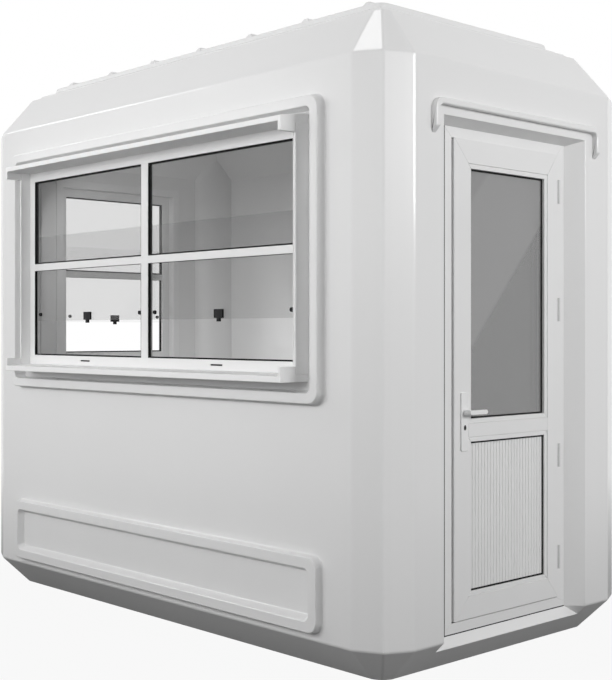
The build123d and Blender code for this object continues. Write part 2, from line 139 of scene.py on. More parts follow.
lamps = [
    lamp("front_lamp", (0.0, -4.4, 2.3), (0.1, -0.75, 2.1), 5.4, 1.6, 111, mirrored=False),
    lamp("right_lamp", (6.5, 0.9, 2.95), (1.3, 0, 1.9), 3.0, 1.6, 176),
    lamp("left_lamp", (-5.4, -3.7, 4.4), (0, -0.75, 1.4), 2.0, 0.45, 45),
    lamp("top_lamp", (0.21, -0.93, 5.6), (0.9, -0.65, 2.3), 0.9, 0.9, 10),
    lamp("back_lamp", (-4.8, 4.8, 3.2), (-0.6, 0.4, 1.4), 4.0, 3.0, 200, mirrored=False),
    lamp("room_lamp", (-0.75, -0.55, 1.95), (-0.5, 0.69, 0.9), 0.6, 0.35, 3.0, mirrored=False),
    lamp("low_lamp", (-0.45, 0.15, 0.98), (-0.8, 0.69, 0.98), 0.4, 0.2, 1.25, mirrored=False),
]
print("lamps", [light.name for light in lamps])

# %% [markdown]
# The sky and the floor are white only to rays that look at them: straight from the camera,
# mirrored in gloss, or through glass. More lamps would whiten the background as well, but
# they would also wash out the booth. To all other rays the sky is dim and the floor grey.


# %% Rays that see white
def seen_by(tree, *rays):
    """A factor that is 1 for the named kinds of ray."""
    path = tree.nodes.new("ShaderNodeLightPath")
    total = path.outputs[rays[0]]
    for ray in rays[1:]:
        either = tree.nodes.new("ShaderNodeMath")
        either.operation = "MAXIMUM"
        tree.links.new(total, either.inputs[0])
        tree.links.new(path.outputs[ray], either.inputs[1])
        total = either.outputs[0]
    return total


# %% Sky
horizon_light = 0.50
zenith_light = 0.10
world = bpy.data.worlds.new("studio_sky")
bpy.context.scene.world = world
world.use_nodes = True
sky = world.node_tree
sky.nodes.clear()
sky_light = sky.nodes.new("ShaderNodeBackground")
sky_light.inputs["Color"].default_value = (1, 1, 1, 1)
sky_way = sky.nodes.new("ShaderNodeTexCoord")
sky_height = sky.nodes.new("ShaderNodeSeparateXYZ")
sky_fade = sky.nodes.new("ShaderNodeMapRange")
sky_fade.inputs["To Min"].default_value = horizon_light
sky_fade.inputs["To Max"].default_value = zenith_light
sky.links.new(sky_way.outputs["Generated"], sky_height.inputs[0])
sky.links.new(sky_height.outputs["Z"], sky_fade.inputs["Value"])
sky.links.new(sky_fade.outputs["Result"], sky_light.inputs["Strength"])
sky_white = sky.nodes.new("ShaderNodeBackground")
sky_white.inputs["Color"].default_value = (1, 1, 1, 1)
sky_mix = sky.nodes.new("ShaderNodeMixShader")
sky_out = sky.nodes.new("ShaderNodeOutputWorld")
sky_seen = seen_by(sky, "Is Camera Ray", "Is Glossy Ray", "Is Transmission Ray")
sky.links.new(sky_seen, sky_mix.inputs[0])
sky.links.new(sky_light.outputs[0], sky_mix.inputs[1])
sky.links.new(sky_white.outputs[0], sky_mix.inputs[2])
sky.links.new(sky_mix.outputs[0], sky_out.inputs["Surface"])
print("sky", horizon_light, "to", zenith_light)

# %% Floor
floor_half = 40.0
floor_grey = 0.16
clear_selection()
bpy.ops.mesh.primitive_plane_add(size=2 * floor_half, location=(0, 0, 0))
floor = bpy.context.object
floor.name = "studio_floor"
floor_paint = bpy.data.materials.new("studio_floor_paint")
floor_paint.use_nodes = True
ground = floor_paint.node_tree
ground.nodes.clear()
floor_dull = ground.nodes.new("ShaderNodeBsdfDiffuse")
floor_dull.inputs["Color"].default_value = (floor_grey, floor_grey, floor_grey, 1)
floor_glow = ground.nodes.new("ShaderNodeEmission")
floor_glow.inputs["Color"].default_value = (1, 1, 1, 1)
floor_mix = ground.nodes.new("ShaderNodeMixShader")
floor_out = ground.nodes.new("ShaderNodeOutputMaterial")
ground.links.new(floor_dull.outputs[0], floor_mix.inputs[1])
ground.links.new(floor_glow.outputs[0], floor_mix.inputs[2])
ground.links.new(floor_mix.outputs[0], floor_out.inputs["Surface"])
floor.data.materials.append(floor_paint)
print("floor", 2 * floor_half, "m wide")

# %% White share of the floor, which grows with the distance from the booth
floor_place = ground.nodes.new("ShaderNodeTexCoord")
floor_reach = ground.nodes.new("ShaderNodeVectorMath")
floor_reach.operation = "LENGTH"
ground.links.new(floor_place.outputs["Object"], floor_reach.inputs[0])
floor_share = ground.nodes.new("ShaderNodeMath")
floor_share.operation = "ADD"
floor_shares = (
    (("Is Camera Ray", "Is Transmission Ray"), (1.6, 3.2), (0.93, 1.0)),
    (("Is Glossy Ray",), (1.8, 6.0), (0.0, 1.0)),
)
for number, (rays, reach, share) in enumerate(floor_shares):
    fade = ground.nodes.new("ShaderNodeMapRange")
    fade.inputs["From Min"].default_value, fade.inputs["From Max"].default_value = reach
    fade.inputs["To Min"].default_value, fade.inputs["To Max"].default_value = share
    seen = ground.nodes.new("ShaderNodeMath")
    seen.operation = "MULTIPLY"
    ground.links.new(floor_reach.outputs["Value"], fade.inputs["Value"])
    ground.links.new(seen_by(ground, *rays), seen.inputs[0])
    ground.links.new(fade.outputs["Result"], seen.inputs[1])
    ground.links.new(seen.outputs[0], floor_share.inputs[number])
ground.links.new(floor_share.outputs[0], floor_mix.inputs[0])
print("floor shares", [share for rays, reach, share in floor_shares])

# %% [markdown]
# ## Finishes
# Gel coat is a white resin skin: glossy, with a faint uneven tone and the slow ripple of
# a moulded surface. The frames are satin white extrusions, the fittings are black
# moulded plastic, and the seals are black rubber. Pictures could carry such marks, but
# noise on the piece's own coordinates has no seams and no edge, so each finish is one
# Principled shader whose colour, roughness and bump come from noise.

# %% Plastic
coat_roughness = 0.1
bump_strength = 0.25


def plastic_finish(name, tones, roughness, patch, grain, ripple, coat=0.0, shine=0.5):
    """A plastic: two tones in soft patches, a band of roughness, and a fine or slow bump."""
    paint = bpy.data.materials.new(name)
    paint.use_nodes = True
    tree = paint.node_tree
    shader = tree.nodes["Principled BSDF"]
    shader.inputs["Specular IOR Level"].default_value = shine
    shader.inputs["Coat Weight"].default_value = coat
    shader.inputs["Coat Roughness"].default_value = coat_roughness
    place = tree.nodes.new("ShaderNodeTexCoord")
    cloud = tree.nodes.new("ShaderNodeTexNoise")
    cloud.inputs["Scale"].default_value = patch
    cloud.inputs["Detail"].default_value = 4
    tint = tree.nodes.new("ShaderNodeMix")
    tint.data_type = "RGBA"
    colours_in = [socket for socket in tint.inputs if socket.type == "RGBA"]
    for socket, tone in zip(colours_in, tones):
        socket.default_value = (*tone, 1)
    gloss = tree.nodes.new("ShaderNodeMapRange")
    gloss.inputs["To Min"].default_value, gloss.inputs["To Max"].default_value = roughness
    skin = tree.nodes.new("ShaderNodeTexNoise")
    skin.inputs["Scale"].default_value = grain
    skin.inputs["Detail"].default_value = 2
    bump = tree.nodes.new("ShaderNodeBump")
    bump.inputs["Strength"].default_value = bump_strength
    bump.inputs["Distance"].default_value = ripple
    colour_out = [socket for socket in tint.outputs if socket.type == "RGBA"][0]
    tree.links.new(place.outputs["Object"], cloud.inputs["Vector"])
    tree.links.new(place.outputs["Object"], skin.inputs["Vector"])
    tree.links.new(cloud.outputs["Fac"], tint.inputs["Factor"])
    tree.links.new(colour_out, shader.inputs["Base Color"])
    tree.links.new(cloud.outputs["Fac"], gloss.inputs["Value"])
    tree.links.new(gloss.outputs["Result"], shader.inputs["Roughness"])
    tree.links.new(skin.outputs["Fac"], bump.inputs["Height"])
    tree.links.new(bump.outputs["Normal"], shader.inputs["Normal"])
    return paint


# %% White and black plastics
def greys(*tones):
    """Neutral colours of the given brightness."""
    return [(tone, tone, tone) for tone in tones]


gel_coat = plastic_finish("gel_coat", greys(0.79, 0.83), (0.27, 0.34), 1.3, 26, 0.0003, coat=0.45)
trim_white = plastic_finish("trim_white", greys(0.88, 0.92), (0.28, 0.36), 3.0, 90, 0.0001)
frame_white = plastic_finish("frame_white", greys(0.82, 0.86), (0.30, 0.38), 4.0, 220, 0.0002)
door_white = plastic_finish("door_white", greys(0.80, 0.84), (0.30, 0.38), 4.0, 220, 0.0002)
handle_paint = plastic_finish("handle_paint", greys(0.83, 0.87), (0.22, 0.30), 20, 500, 0.0001, coat=0.2)
# Hinge grey: partly a metal grey, partly painted shade for the shadow line beside each barrel.
hinge_grey_and_shade = plastic_finish("hinge_grey_and_shade", greys(0.60, 0.66), (0.35, 0.45), 40, 600, 0.0001)
black_tones = ((0.012, 0.012, 0.013), (0.022, 0.022, 0.023))
black_plastic = plastic_finish("black_plastic", black_tones, (0.38, 0.50), 30, 700, 0.0001, shine=0.12)
seal_rubber = plastic_finish("seal_rubber", greys(0.008, 0.016), (0.55, 0.70), 25, 500, 0.0001, shine=0.1)
floor_cover = plastic_finish("floor_cover", greys(0.40, 0.48), (0.50, 0.65), 6, 300, 0.0004)
print("finishes", len(bpy.data.materials))

# %% [markdown]
# Sheet glass is see-through and mirrors its surroundings. A pale sheen of reflected light that
# crosses it in slanting bands is painted into its colour. A full glass shader would bend each
# ray twice in a thin pane, for little gain. Here the pane is a glossy skin with some see-through,
# and a colour ramp along a slanting direction paints the sheen bands into its base colour.

# %% Glass
glass_roughness = 0.02
glass_index = 2.2


def glass_finish(name, cover, way, sheen_bands):
    """Sheet glass, mostly see-through, with painted sheen in slanting bands of (place, tone)."""
    pane = bpy.data.materials.new(name)
    pane.use_nodes = True
    tree = pane.node_tree
    shader = tree.nodes["Principled BSDF"]
    shader.inputs["Roughness"].default_value = glass_roughness
    shader.inputs["IOR"].default_value = glass_index
    shader.inputs["Alpha"].default_value = cover
    place = tree.nodes.new("ShaderNodeTexCoord")
    slant = tree.nodes.new("ShaderNodeVectorMath")
    slant.operation = "DOT_PRODUCT"
    slant.inputs[1].default_value = way
    first, last = sheen_bands[0][0], sheen_bands[-1][0]
    spread = tree.nodes.new("ShaderNodeMapRange")
    spread.inputs["From Min"].default_value = first
    spread.inputs["From Max"].default_value = last
    ramp = tree.nodes.new("ShaderNodeValToRGB")
    ramp.color_ramp.interpolation = "EASE"
    stops = ramp.color_ramp.elements
    for number, (at, tone) in enumerate(sheen_bands):
        if number in (0, len(sheen_bands) - 1):
            stop = stops[0] if number == 0 else stops[-1]
        else:
            stop = stops.new((at - first) / (last - first))
        stop.color = (tone, tone, tone, 1)
    tree.links.new(place.outputs["Object"], slant.inputs[0])
    tree.links.new(slant.outputs["Value"], spread.inputs["Value"])
    tree.links.new(spread.outputs["Result"], ramp.inputs["Fac"])
    tree.links.new(ramp.outputs["Color"], shader.inputs["Base Color"])
    return pane


# The tone of each band is painted sheen: paler or darker grey across the pane where reflected light falls.
door_sheen_bands = ((1.385, 0.205), (1.415, 0.29), (1.925, 0.29), (1.965, 0.25))
front_glass = glass_finish("front_glass", 0.16, (-0.94, 0, 1.0), ((1.46, 0.04), (1.53, 0.15)))
end_glass = glass_finish("end_glass", 0.05, (0, -0.9, 1.0), ((1.5, 0.05), (1.6, 0.12)))
door_tint_glass = glass_finish("door_tint_glass", 0.72, (0, -1.12, 1.0), door_sheen_bands)
print("finishes with glass", len(bpy.data.materials))

# %% [markdown]
# ## The moulded shell
# On the real booth, base, walls and roof come out of one mould, so there is no seam
# between them. Separate walls would have to meet without a line. So the shell starts as one
# block as tall as the walls. Its upright edges are bevelled in two segments, which makes
# the two facets of each corner, and the base and the roof grow out of its two ends by inset
# with depth, as the mould tapers.

# %% Choose corners, edges and faces by place and direction
TINY = 0.0004


def middle_of(item):
    """Middle of a corner, an edge or a face."""
    if isinstance(item, bmesh.types.BMVert):
        return item.co.copy()
    return sum((corner.co for corner in item.verts), Vector()) / len(item.verts)


def pick(kind, test):
    """Select the corners, edges or faces that pass test(middle, item)."""
    bpy.ops.mesh.select_mode(type=kind)
    bpy.ops.mesh.select_all(action="DESELECT")
    mesh = bpy.context.object.data
    shape = bmesh.from_edit_mesh(mesh)
    shape.normal_update()
    items = {"VERT": shape.verts, "EDGE": shape.edges, "FACE": shape.faces}[kind]
    for item in items:
        if test(middle_of(item), item):
            item.select_set(True)
    shape.select_flush_mode()
    bmesh.update_edit_mesh(mesh)


def pick_face(axis, way):
    """Select the faces that point along one axis, forwards (1) or backwards (-1)."""
    pick("FACE", lambda at, face: face.normal[axis] * way > 0.9)


def runs_along(edge, axis):
    """True for an edge that runs along one axis only."""
    step = edge.verts[1].co - edge.verts[0].co
    return all(abs(step[other]) < TINY for other in range(3) if other != axis)


def grow(move):
    """Extrude the selected faces by one move."""
    bpy.ops.mesh.extrude_region_move(TRANSFORM_OT_translate={"value": move})


X, Y, Z = range(3)


# %% Start a block, use a modifier, cut a shape away
def block(name, low, high):
    """A cube between two opposite corners, open in edit mode, with its place in its mesh."""
    clear_selection()
    low, high = Vector(low), Vector(high)
    bpy.ops.mesh.primitive_cube_add(size=1, location=(low + high) / 2, scale=high - low)
    piece = bpy.context.object
    piece.name = name
    apply_place()
    open_piece(piece)
    return piece


def use_modifier(piece, kind, **settings):
    """Add one modifier with its settings and apply it."""
    make_active(piece)
    modifier = piece.modifiers.new(kind.lower(), kind)
    for setting, value in settings.items():
        setattr(modifier, setting, value)
    bpy.ops.object.modifier_apply(modifier=modifier.name)


def cut_away(piece, cutter):
    """Take one closed shape out of another."""
    clear_selection()
    use_modifier(piece, "BOOLEAN", object=cutter, operation="DIFFERENCE", solver="EXACT")
    bpy.data.objects.remove(cutter)


# %% Sizes of the shell
half_length, half_width, base_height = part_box("base_pan")[1]
eaves_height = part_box("front_wall")[1].z
cove_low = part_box("roof_skirt")[0].z
slope_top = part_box("roof_skirt")[1].z
slope_inset = half_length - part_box("roof_panel")[1].x
roof_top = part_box("roof_panel")[1].z
room_half_length, room_half_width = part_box("floor_board")[1].xy
base_inset = 0.132
corner_leg = 0.155
ridge_setback = 0.049
ridge_profile = (1 - ridge_setback / corner_leg) ** 2
roof_steps = ((0.039, 0.008), (0.007, 0.015))
print("half length", half_length, "half width", half_width, "roof top", roof_top)

# %% Block, facets, base and roof
shell = block(
    "moulded_shell", (-half_length, -half_width, base_height), (half_length, half_width, eaves_height)
)
pick("EDGE", lambda at, edge: runs_along(edge, Z))
bpy.ops.mesh.bevel(offset=corner_leg, segments=2, profile=ridge_profile, affect="EDGES")
pick_face(Z, -1)
bpy.ops.mesh.inset(thickness=base_inset, depth=base_height)
pick_face(Z, 1)
bpy.ops.mesh.inset(thickness=slope_inset, depth=slope_top - eaves_height)
for thickness, depth in roof_steps:
    bpy.ops.mesh.inset(thickness=thickness, depth=depth)
print("roof steps", len(roof_steps))

# %% Soft edges of the mould
main_round = 0.007
step_round_share = 0.35
bend = 0.1
pick("EDGE", lambda at, edge: edge.calc_face_angle(0) > bend and at.z < slope_top - TINY)
bpy.ops.transform.edge_bevelweight(value=1.0)
pick("EDGE", lambda at, edge: edge.calc_face_angle(0) > bend and at.z > slope_top - TINY)
bpy.ops.transform.edge_bevelweight(value=step_round_share)
use_modifier(shell, "BEVEL", width=main_round, segments=3, limit_method="WEIGHT")
print("shell faces", len(shell.data.polygons))

# %% [markdown]
# The room is hollow, with the doorway and the windows cut through its walls. The walls
# could be given their thickness by Solidify, but the room's corners don't follow the
# facets outside. So the room's space is a second block whose top narrows under the roof
# slope, and it is taken out of the shell with a Boolean modifier, as the openings are.

# %% Hollow room
cove_lean = (slope_top - cove_low) * slope_inset / (slope_top - eaves_height)
room_space = block(
    "room_space",
    (-room_half_length, -room_half_width, base_height),
    (room_half_length, room_half_width, cove_low),
)
pick_face(Z, 1)
bpy.ops.mesh.inset(thickness=cove_lean, depth=slope_top - cove_low)
cut_away(shell, room_space)
print("shell with its room", len(shell.data.polygons))

# %% Doorway, flared from the door frame out to the wall face
door_splay = 0.060
door_head_splay = 0.023
latch_splay = 0.009
frame_lap = 0.035
overrun = 1.3
depth_in = 0.02
latch_low, latch_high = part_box("door_jamb_latch")
frame_face = latch_high.x
reveal_half = -latch_low.y - frame_lap
reveal_top = latch_high.z - frame_lap
doorway_end = frame_face + (half_length - frame_face) * overrun

doorway = block(
    "doorway", (frame_face, -reveal_half, base_height), (doorway_end, reveal_half, reveal_top)
)
pick_face(X, 1)
bpy.ops.transform.resize(
    value=(1, 1 + door_splay * overrun / reveal_half, 1), center_override=(doorway_end, 0, base_height)
)
pick("VERT", lambda at, corner: at.x > frame_face + TINY and at.y < 0)
bpy.ops.transform.translate(value=(0, -latch_splay * overrun, 0))
pick("VERT", lambda at, corner: at.x > frame_face + TINY and at.z > reveal_top - TINY)
bpy.ops.transform.translate(value=(0, 0, door_head_splay * overrun))
pick_face(X, -1)
grow((-depth_in, 0, 0))
print("doorway", round(2 * reveal_half, 3), "by", round(reveal_top - base_height, 3))

# %% The step falls away in front of the door
step_drop = 0.038
step_setback = step_drop * base_inset / base_height
pick("FACE", lambda at, face: face.normal.z < -0.9 and at.x > frame_face)
grow((0, 0, 0))
step_shape = bmesh.from_edit_mesh(doorway.data)
for corner in step_shape.verts:
    if corner.select and corner.co.x < frame_face + TINY:
        corner.select_set(False)
step_shape.select_flush_mode()
bmesh.update_edit_mesh(doorway.data)
bpy.ops.transform.translate(value=(-step_setback * overrun, 0, -step_drop * overrun))
bpy.ops.mesh.select_all(action="SELECT")
bpy.ops.mesh.remove_doubles(threshold=TINY)
bpy.ops.mesh.normals_make_consistent(inside=False)
cut_away(shell, doorway)
print("step falls", step_drop)

# %% Window openings
hole_margin = 0.020
hole_through = 0.12
for node, axis in (("front_window_frame", Y), ("end_window_frame", X)):
    hole_low, hole_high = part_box(node)
    margin = Vector((hole_margin, hole_margin, hole_margin))
    margin[axis] = hole_through
    cut_away(shell, block(node + "_hole", hole_low - margin, hole_high + margin))
print("shell with openings", len(shell.data.polygons))

# %% [markdown]
# ## Raised beads
# A rounded bead frames the window recess and the low apron panel. A swept curve would give
# a bead of one section, but the inner side here is a drafted pocket. So each bead is a slab
# set in the wall: its corners are bevelled, its front grows by a few small insets with
# depth, which draw the soft S of the mould's edge, and the pocket is taken out of it.

# %% Turn a piece and round its edges
def turn_piece(piece, degrees, move=(0, 0, 0)):
    """Turn a piece about the booth's upright axis, then move it, and apply both."""
    make_active(piece)
    piece.rotation_euler.z = math.radians(degrees)
    piece.location = move
    apply_place()
    return piece


def soften(piece, width, segments=2, angle=40, clamp=True):
    """Round every edge that is sharper than an angle, and keep flat faces flat."""
    use_modifier(
        piece, "BEVEL", width=width, segments=segments, limit_method="ANGLE",
        angle_limit=math.radians(angle), use_clamp_overlap=clamp,
    )
    bpy.ops.object.shade_smooth_by_angle(angle=math.radians(max(angle, 35)))
    use_modifier(piece, "WEIGHTED_NORMAL", weight=100, keep_sharp=True)


# %% Bead tools
recess_depth = 0.019
recess_radius = 0.024
pocket_back = 0.040
wall_face = -half_width


def round_slab(name, low, high, radius):
    """A block whose front-to-back edges are rounded, open in edit mode."""
    slab = block(name, low, high)
    pick("EDGE", lambda at, edge: runs_along(edge, Y))
    bpy.ops.mesh.bevel(offset=radius, segments=8, affect="EDGES")
    return slab


def bead_piece(name, crest, radius, flare, width, draft, back, sink=0.0, lift=0.0):
    """A raised bead round a sunk panel, on the front wall: crest is its outer (x, z, x, z)."""
    x0, z0, x1, z1 = crest
    reach = sum(across for across, rise in flare)
    proud = sum(rise for across, rise in flare)
    piece = round_slab(
        name, (x0 - reach, wall_face, z0 - reach), (x1 + reach, back, z1 + reach), radius + reach
    )
    pick_face(Y, -1)
    for across, rise in flare:
        bpy.ops.mesh.inset(thickness=across, depth=rise)
    mouth = wall_face - proud
    pocket = round_slab(
        name + "_pocket",
        (x0 + width, mouth - pocket_back, z0 + width),
        (x1 - width, mouth, z1 - width),
        recess_radius,
    )
    pick_face(Y, 1)
    bpy.ops.mesh.inset(thickness=draft, depth=proud + sink)
    pick("VERT", lambda at, corner: at.y > wall_face + sink - TINY and at.z < (z0 + z1) / 2)
    bpy.ops.transform.translate(value=(0, 0, lift))
    cut_away(piece, pocket)
    return piece


def wall_pocket(name, crest, margin, turn, move):
    """Room in the shell for a bead piece, behind its crest."""
    x0, z0, x1, z1 = crest
    pocket = block(
        name,
        (x0 + margin, wall_face - pocket_back, z0 + margin),
        (x1 - margin, wall_face + pocket_back, z1 - margin),
    )
    cut_away(shell, turn_piece(pocket, turn, move))


# %% Apron panels on three walls
apron_flare = ((0.003, 0.001), (0.002, 0.002), (0.0015, 0.005), (0.0035, 0.022))
apron_width = 0.039
apron_radius = 0.040
apron_draft = 0.014
apron_lift = 0.005
apron_gap = 0.100
apron_low, apron_high = 0.1625, 0.4305
apron_back = wall_face + 0.018
apron_round = 0.005
rear_share = 0.43
end_shift = (half_width - half_length, 0, 0)
apron_walls = (
    ("front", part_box("front_wall")[1].x, 0, (0, 0, 0), 1.0),
    ("rear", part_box("rear_wall")[1].x, 180, (0, 0, 0), rear_share),
    ("end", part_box("end_wall")[1].y, -90, end_shift, 1.0),
)
aprons = []
for side, wall_half, turn, move, share in apron_walls:
    reach = wall_half - apron_gap
    flare = [(across, rise * share) for across, rise in apron_flare]
    crest = (-reach, apron_low, reach, apron_high)
    wall_pocket(side + "_pocket", crest, apron_width / 2, turn, move)
    apron = bead_piece(
        side + "_apron", crest, apron_radius, flare, apron_width, apron_draft, apron_back, lift=apron_lift
    )
    soften(apron, apron_round, 3, 38)
    aprons.append(turn_piece(apron, turn, move))
print("aprons", [apron.name for apron in aprons])

# %% Window surrounds on two walls
window_flare = ((0.004, 0.001), (0.0025, 0.0025), (0.0015, 0.005), (0.004, 0.0275))
bead_width = 0.038
bead_radius = 0.045
side_gap = 0.061
gap_below = 0.0375
gap_above = 0.055
surround_draft = 0.004
surround_round = 0.006
room_lap = 0.001
surround_back = -room_half_width - room_lap
front_hatch_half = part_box("front_window_frame")[1].x
end_hatch_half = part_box("end_window_frame")[1].y
jamb_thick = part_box("front_window_jambs")[1].x - front_hatch_half
sill_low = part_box("front_window_ledge")[0].z
frame_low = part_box("front_window_frame")[0].z
frame_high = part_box("front_window_frame")[1].z
window_walls = (
    ("front", front_hatch_half, 0, (0, 0, 0)),
    ("end", end_hatch_half, -90, end_shift),
)
surrounds = []
for side, hatch_half, turn, move in window_walls:
    reach = hatch_half + jamb_thick + side_gap + bead_width
    crest = (-reach, sill_low - gap_below - bead_width, reach, frame_high + gap_above + bead_width)
    wall_pocket(side + "_surround_pocket", crest, bead_width / 2, turn, move)
    surround = bead_piece(
        side + "_surround", crest, bead_radius, window_flare, bead_width, surround_draft, surround_back,
        sink=recess_depth,
    )
    opening = block(
        side + "_opening", (-hatch_half, wall_face - hole_through, frame_low), (hatch_half, 0, frame_high)
    )
    cut_away(surround, opening)
    soften(surround, surround_round, 3, 38)
    surrounds.append(turn_piece(surround, turn, move))
print("surrounds", [surround.name for surround in surrounds])

# %% Dress the shell
shell_round = 0.005


def dress(piece, finish, slot, body, *nodes):
    """Give a piece its finish, its body and the solids that it stands for."""
    clear_selection()
    piece.data.materials.clear()
    piece.data.materials.append(finish)
    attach(piece, body)
    if nodes:
        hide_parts(*nodes)
    return piece


soften(shell, shell_round, 3, 32)
posts = [f"corner_post_{face}_{side}" for face in ("front", "rear") for side in ("left", "right")]
dress(
    shell, gel_coat, "gel_coat", "booth",
    "base_pan", "door_pier_front", "door_pier_rear", "door_lintel", "roof_skirt", *posts,
)
for piece, node in zip(aprons, ("front_wall", "rear_wall", "end_wall")):
    dress(piece, gel_coat, "gel_coat", "booth", node)
for piece, node in zip(surrounds, ("front_wall", "end_wall")):
    dress(piece, gel_coat, "gel_coat", "booth", node)
print("shell", len(shell.data.polygons), "faces")

# %% [markdown]
# ## Roof crown and ribs
# The middle of the roof steps up once more with rounded corners, and low ribs cross it to
# stiffen the sheet. Bump could draw the ribs, but they show in outline along the roof's
# edge. So the crown is a rounded block with two insets on top, and one rib is modelled,
# tapered by shrinking its top face, and copied.

# %% Crown
crown_radius = 0.090
crown_round = 0.004
crown_steps = ((0.037, 0.014), (0.008, 0.023))
riser_inset = slope_inset + sum(across for across, rise in roof_steps)
crown_foot = slope_top + sum(rise for across, rise in roof_steps)
crown_half_length = half_length - riser_inset
crown_half_width = half_width - riser_inset
crown = block(
    "roof_crown",
    (-crown_half_length, -crown_half_width, slope_top),
    (crown_half_length, crown_half_width, crown_foot),
)
pick("EDGE", lambda at, edge: runs_along(edge, Z))
bpy.ops.mesh.bevel(offset=crown_radius, segments=10, affect="EDGES")
pick_face(Z, 1)
for thickness, depth in crown_steps:
    bpy.ops.mesh.inset(thickness=thickness, depth=depth)
soften(crown, crown_round, 3, 32)
dress(crown, gel_coat, "gel_coat", "booth", "roof_panel")
print("crown", round(2 * crown_half_length, 3), "by", round(2 * crown_half_width, 3))

# %% Copy and join
def place_copy(piece, name, move=(0, 0, 0), scale=(1, 1, 1)):
    """A copy of a piece with its own mesh, moved or mirrored, with its place in its mesh."""
    make_active(piece)
    bpy.ops.object.duplicate(linked=False)
    copy = bpy.context.object
    copy.name = name
    copy.location = move
    copy.scale = scale
    apply_place()
    return copy


def join_pieces(name, pieces):
    """Make several pieces one object."""
    clear_selection()
    for piece in pieces:
        piece.select_set(True)
    bpy.context.view_layer.objects.active = pieces[0]
    if len(pieces) > 1:
        bpy.ops.object.join()
    pieces[0].name = name
    return pieces[0]


# %% Ribs
crown_top = crown_foot + sum(rise for across, rise in crown_steps)
crown_inset = riser_inset + sum(across for across, rise in crown_steps)
rib_width = 0.044
rib_lean = 0.012
rib_shift = 0.025
rib_end_gap = 0.008
rib_side_gap = 0.112
rib_bite = 0.002
rib_round = 0.004
rib_count = 7
rib_half = half_width - crown_inset - rib_end_gap
rib_run = 2 * (half_length - crown_inset - rib_side_gap)
first_rib = block(
    "roof_rib", (-rib_width / 2, -rib_half, crown_top - rib_bite), (rib_width / 2, rib_half, roof_top)
)
pick_face(Z, 1)
bpy.ops.transform.resize(
    value=(1 - 2 * rib_lean / rib_width, 1 - rib_lean / rib_half, 1), center_override=(0, 0, roof_top)
)
soften(first_rib, rib_round, 3, 20)
rib_places = [(number / (rib_count - 1) - 0.5) * rib_run + rib_shift for number in range(rib_count)]
ribs = [place_copy(first_rib, "rib", (place, 0, 0)) for place in rib_places]
bpy.data.objects.remove(first_rib)
dress(join_pieces("roof_ribs", ribs), gel_coat, "gel_coat", "booth", "roof_panel")
print("ribs", rib_count, "every", round(rib_run / (rib_count - 1), 3))

# %% [markdown]
# ## Corner columns and floor
# Inside, a rounded column fills each corner and runs up into the sloped ceiling, which cuts
# its top to a point. The room's corners could be bevelled, but a bevel reaches equally far
# along both walls. So a cylinder is scaled to the column's oval, cut off just inside the
# two walls and the two slopes with bisect, and mirrored to the other corners.

# %% One column
column_leg = Vector((0.108, 0.177))
column_setback_share = 0.1044
column_radius_share = 1.1093
column_gap = 0.004
wall_bite = 0.012
clear_selection()
bpy.ops.mesh.primitive_cylinder_add(
    vertices=64, radius=1, depth=1,
    location=(
        room_half_length + column_leg.x * column_setback_share,
        room_half_width + column_leg.y * column_setback_share,
        (base_height + slope_top) / 2,
    ),
    scale=(*(column_leg * column_radius_share), slope_top - base_height - column_gap),
)
column = bpy.context.object
apply_place()
open_piece(column)
wall_x = room_half_length + wall_bite
wall_y = room_half_width + wall_bite
for point, way in (
    ((wall_x, 0, 0), (1, 0, 0)),
    ((0, wall_y, 0), (0, 1, 0)),
    ((wall_x, 0, cove_low), (slope_top - eaves_height, 0, slope_inset)),
    ((0, wall_y, cove_low), (0, slope_top - eaves_height, slope_inset)),
):
    bpy.ops.mesh.select_all(action="SELECT")
    bpy.ops.mesh.bisect(plane_co=point, plane_no=way, use_fill=True, clear_outer=True)
make_active(column)
bpy.ops.object.shade_smooth_by_angle(angle=math.radians(40))
print("column", len(column.data.polygons), "faces")

# %% Columns in all four corners, and the floor
corner_columns = [column]
for side_x, side_y in ((-1, 1), (1, -1), (-1, -1)):
    copy = place_copy(column, "column", scale=(side_x, side_y, 1))
    open_piece(copy)
    bpy.ops.mesh.select_all(action="SELECT")
    bpy.ops.mesh.normals_make_consistent(inside=False)
    corner_columns.append(copy)
dress(join_pieces("corner_columns", corner_columns), gel_coat, "gel_coat", "booth")


def refinish(node, finish):
    """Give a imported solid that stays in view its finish."""
    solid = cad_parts[node]
    solid.data.materials.clear()
    solid.data.materials.append(finish)


refinish("floor_board", floor_cover)
print("columns", len(corner_columns))

# %% [markdown]
# ## Window hood, ledge and side plates
# Each window sits in a shallow box of white mouldings: a hood with a sloping top, a ledge
# that falls outwards, and a plate each side. Hood and ledge turn the corner with a short
# cheek. Glued-on blocks would leave seams at the cheeks, so both start as one flat block:
# bisect marks where the cheeks stand and extrude brings them out.

# %% Hood
trim_round = 0.0025
hood_lip = 0.020
hood_cheek = 0.034
hood_front_low, hood_back_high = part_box("front_window_canopy")
trim_front = hood_front_low.y
jamb_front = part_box("front_window_jambs")[0].y
recess_floor = wall_face + recess_depth


def mark_cheeks(hatch_half):
    """Cut lines where the end cheeks stand on a hood or a ledge."""
    for point, way in (
        ((hatch_half, 0, 0), (1, 0, 0)),
        ((-hatch_half, 0, 0), (1, 0, 0)),
        ((0, jamb_front, 0), (0, 1, 0)),
    ):
        bpy.ops.mesh.select_all(action="SELECT")
        bpy.ops.mesh.bisect(plane_co=point, plane_no=way)


def pick_cheeks(hatch_half, way):
    """Select the faces under (-1) or on (1) a moulding where its cheeks stand."""

    def on_cheek(at, face):
        return face.normal.z * way > 0.5 and abs(at.x) > hatch_half and at.y < jamb_front

    pick("FACE", on_cheek)


